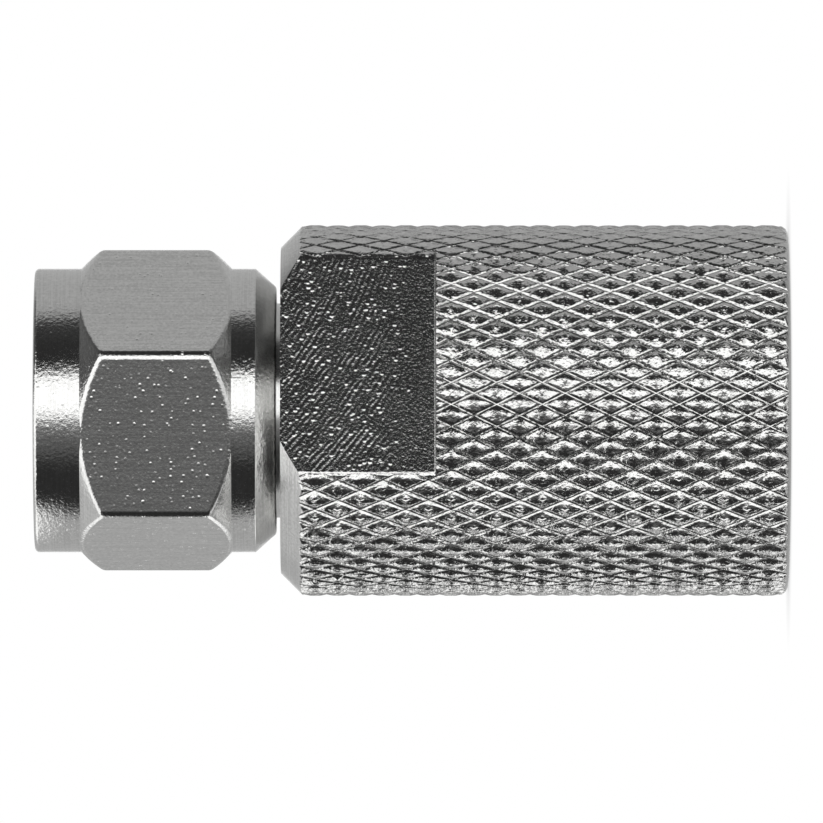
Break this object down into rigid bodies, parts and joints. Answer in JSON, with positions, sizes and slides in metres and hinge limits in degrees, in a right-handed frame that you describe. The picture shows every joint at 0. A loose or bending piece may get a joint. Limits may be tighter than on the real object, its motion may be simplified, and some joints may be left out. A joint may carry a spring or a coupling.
{
  "type": "f connector plug",
  "caption": "Screw-on coaxial plug with a free-turning hexagonal coupling nut and a diamond-knurled barrel with wrench flats.",
  "frame": {"origin": "middle of the cable end's flat rim, on the plug's axis, where the plug stands", "axes": "+Z along the axis from the cable end to the coupling nut's mouth; -Y is the side that faces the camera in the picture; +X is the picture's upper side"},
  "size_m": [0.0144, 0.0144, 0.0291],
  "materials": {
    "knurled_nickel": "nickel plate over a rolled diamond knurl, slightly rough",
    "ferrule_nickel": "smooth turned nickel plate",
    "nut_nickel": "nickel plate over turned collars and a lightly brushed hexagon"
  },
  "bodies": {
    "plug_body": {"knurled_body": "knurled_nickel", "retaining_ferrule": "ferrule_nickel"},
    "nut": {"coupling_nut": "nut_nickel"}
  },
  "joints": [
    {"name": "nut_spin", "type": "hinge", "parent": "plug_body", "child": "nut", "pos_m": [0, 0, 0.0205], "axis": [0, 0, 1], "continuous": true}
  ]
}
